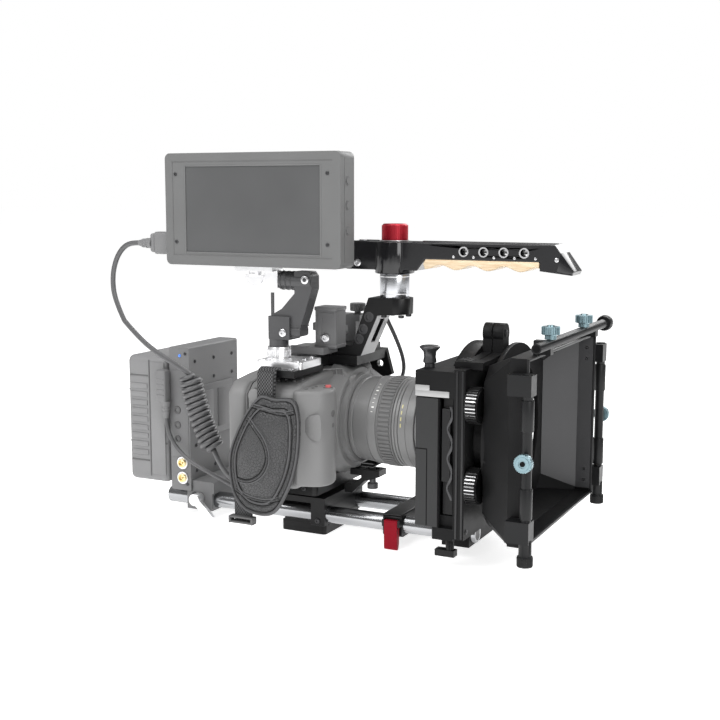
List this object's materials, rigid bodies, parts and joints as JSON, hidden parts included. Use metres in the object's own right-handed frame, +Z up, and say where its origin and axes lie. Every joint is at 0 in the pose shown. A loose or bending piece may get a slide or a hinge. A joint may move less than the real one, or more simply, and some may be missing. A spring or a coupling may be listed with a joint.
{
  "type": "cinema camera rig",
  "caption": "Compact cinema camera in a cage on twin rods, with matte box, top handle, hand strap, arm-mounted monitor and rear battery.",
  "frame": {"origin": "centre of the tripod thread in the base plate's bottom face", "axes": "+X out of the lens, +Y to the operator's left, +Z up"},
  "size_m": [0.43, 0.234, 0.34],
  "materials": {
    "rod_metal": "brushed bright rod",
    "black_anodised": "black anodised, satin",
    "grey_anodised": "grey anodised, satin",
    "bright_alloy": "machined, satin",
    "red_alloy": "red anodised",
    "camera_plastic": "fine textured moulding",
    "lens_shell": "satin painted",
    "lens_rubber": "ribbed grip rubber",
    "optical_glass": "coated optics",
    "circuit": "circuit board",
    "cell_can": "cell cans",
    "strap_leather": "grained leather",
    "webbing": "woven webbing",
    "post_alloy": "turned, bright",
    "grip_wood": "oiled maple",
    "handle_black": "gloss black anodised",
    "monitor_case": "fine textured moulding",
    "screen_glass": "dark display glass",
    "battery_case": "moulded case",
    "cable_rubber": "cable jacket",
    "plug_plastic": "moulded plug",
    "matte_black": "matte black moulding",
    "door_grey": "dark grey satin",
    "knob_blue_silver": "knurled, blue silver",
    "button_red": "red button"
  },
  "bodies": {
    "rig": {"rods": "rod_metal", "base_plate": "black_anodised", "rod_clamp": "black_anodised", "camera_plate": "black_anodised", "lens_support_bracket": "black_anodised", "front_rod_clamp": "black_anodised", "camera_front_shell": "camera_plastic", "camera_rear_shell": "camera_plastic", "main_board": "circuit", "camera_battery": "battery_case", "lens_barrel": "lens_shell", "lens_glass": "optical_glass", "hand_strap_pad": "strap_leather", "hand_strap_webbing": "webbing", "cage_plate": "black_anodised", "shoe_clamp": "grey_anodised", "riser": "black_anodised", "handle_post": "post_alloy", "arm_base": "bright_alloy", "battery_plate": "battery_case", "battery_rod_clamp": "grey_anodised", "matte_stage": "matte_black", "filter_tray_rear": "bright_alloy", "matte_front_frame": "matte_black", "hood": "matte_black", "flag_rails": "door_grey", "rail_knobs": "knob_blue_silver", "hdmi_cord": "cable_rubber", "hdmi_coil": "cable_rubber", "hdmi_tail": "cable_rubber", "dtap_plug": "plug_plastic", "power_lead": "cable_rubber", "camera_plugs": "plug_plastic", "run_cable": "cable_rubber"},
    "lens_pad": {"lens_support_pad": "grey_anodised"},
    "clamp_lever": {"red_clamp_lever": "red_alloy"},
    "record": {"record_button": "button_red"},
    "zoom": {"zoom_ring": "lens_rubber"},
    "focus": {"focus_ring": "lens_rubber"},
    "handle": {"handle_body": "handle_black", "handle_grip": "grip_wood"},
    "lock_knob": {"red_lock_knob": "red_alloy"},
    "arm": {"arm_link": "grey_anodised"},
    "monitor": {"monitor_mount": "bright_alloy", "monitor_case": "monitor_case", "monitor_screen": "screen_glass", "hdmi_plug": "plug_plastic"},
    "thumb": {"thumb_screw": "bright_alloy"},
    "key_1": {"monitor_button_1": "monitor_case"},
    "key_2": {"monitor_button_2": "monitor_case"},
    "key_3": {"monitor_button_3": "monitor_case"},
    "battery": {"battery_pack": "battery_case", "battery_cells": "cell_can"},
    "battery_lever": {"battery_clamp_lever": "bright_alloy"},
    "door": {"tray_door": "door_grey"},
    "tray": {"filter_tray_front": "bright_alloy"},
    "bottom_lever": {"matte_bottom_lever": "black_anodised"},
    "top_lock": {"top_lock_knob": "black_anodised"},
    "gear_upper": {"gear_knob_upper": "black_anodised"},
    "gear_lower": {"gear_knob_lower": "black_anodised"}
  },
  "joints": [
    {"name": "lens_pad_height", "type": "slide", "parent": "rig", "child": "lens_pad", "axis": [0, 0, 1], "range_m": [-0.003, 0]},
    {"name": "clamp_lever_flip", "type": "hinge", "parent": "rig", "child": "clamp_lever", "pos_m": [0.094, -0.0442, 0.024], "axis": [-1, 0, 0], "range_deg": [0, 100]},
    {"name": "record_press", "type": "slide", "parent": "rig", "child": "record", "axis": [0, 0, -1], "range_m": [0, 0.0012], "stiffness_N_per_m": 400},
    {"name": "zoom_turn", "type": "hinge", "parent": "rig", "child": "zoom", "pos_m": [0.0835, 0, 0.105], "axis": [1, 0, 0], "range_deg": [-35, 35]},
    {"name": "focus_turn", "type": "hinge", "parent": "rig", "child": "focus", "pos_m": [0.104, 0, 0.105], "axis": [1, 0, 0], "range_deg": [-60, 60]},
    {"name": "handle_swivel", "type": "hinge", "parent": "rig", "child": "handle", "pos_m": [0.076, 0, 0.25], "axis": [0, 0, 1], "range_deg": [-60, 90]},
    {"name": "lock_knob_turn", "type": "hinge", "parent": "rig", "child": "lock_knob", "pos_m": [0.076, 0, 0.272], "axis": [0, 0, 1], "continuous": true},
    {"name": "arm_swivel", "type": "hinge", "parent": "rig", "child": "arm", "pos_m": [-0.007, -0.06, 0.178], "axis": [0, 0, 1], "range_deg": [-45, 15], "deforming": ["hdmi_cord"]},
    {"name": "monitor_tilt", "type": "hinge", "parent": "arm", "child": "monitor", "pos_m": [0.011, -0.06, 0.2315], "axis": [1, 0, 0], "range_deg": [-15, 30]},
    {"name": "thumb_screw_turn", "type": "hinge", "parent": "monitor", "child": "thumb", "pos_m": [-0.028, -0.064, 0.236], "axis": [0, 0, 1], "continuous": true},
    {"name": "key_1_press", "type": "slide", "parent": "monitor", "child": "key_1", "axis": [-1, 0, 0], "range_m": [0, 0.001], "stiffness_N_per_m": 300},
    {"name": "key_2_press", "type": "slide", "parent": "monitor", "child": "key_2", "axis": [-1, 0, 0], "range_m": [0, 0.001], "stiffness_N_per_m": 300},
    {"name": "key_3_press", "type": "slide", "parent": "monitor", "child": "key_3", "axis": [-1, 0, 0], "range_m": [0, 0.001], "stiffness_N_per_m": 300},
    {"name": "battery_slide", "type": "slide", "parent": "rig", "child": "battery", "axis": [0, 0, 1], "range_m": [0, 0.03]},
    {"name": "battery_lever_turn", "type": "hinge", "parent": "rig", "child": "battery_lever", "pos_m": [-0.106, -0.045, 0.022], "axis": [0, -1, 0], "range_deg": [0, 110]},
    {"name": "door_open", "type": "hinge", "parent": "rig", "child": "door", "pos_m": [0.1315, -0.08, 0.09], "axis": [0, 0, -1], "range_deg": [0, 100]},
    {"name": "tray_slide", "type": "slide", "parent": "rig", "child": "tray", "axis": [0, -1, 0], "range_m": [0, 0.15]},
    {"name": "bottom_lever_turn", "type": "hinge", "parent": "rig", "child": "bottom_lever", "pos_m": [0.157, -0.066, 0.012], "axis": [0, 0, 1], "range_deg": [-90, 90]},
    {"name": "top_lock_pull", "type": "slide", "parent": "rig", "child": "top_lock", "axis": [0, 0, 1], "range_m": [0, 0.006], "stiffness_N_per_m": 300},
    {"name": "gear_upper_turn", "type": "hinge", "parent": "rig", "child": "gear_upper", "pos_m": [0.18, -0.07, 0.138], "axis": [1, 0, 0], "continuous": true},
    {"name": "gear_lower_turn", "type": "hinge", "parent": "rig", "child": "gear_lower", "pos_m": [0.18, -0.07, 0.072], "axis": [1, 0, 0], "continuous": true}
  ]
}
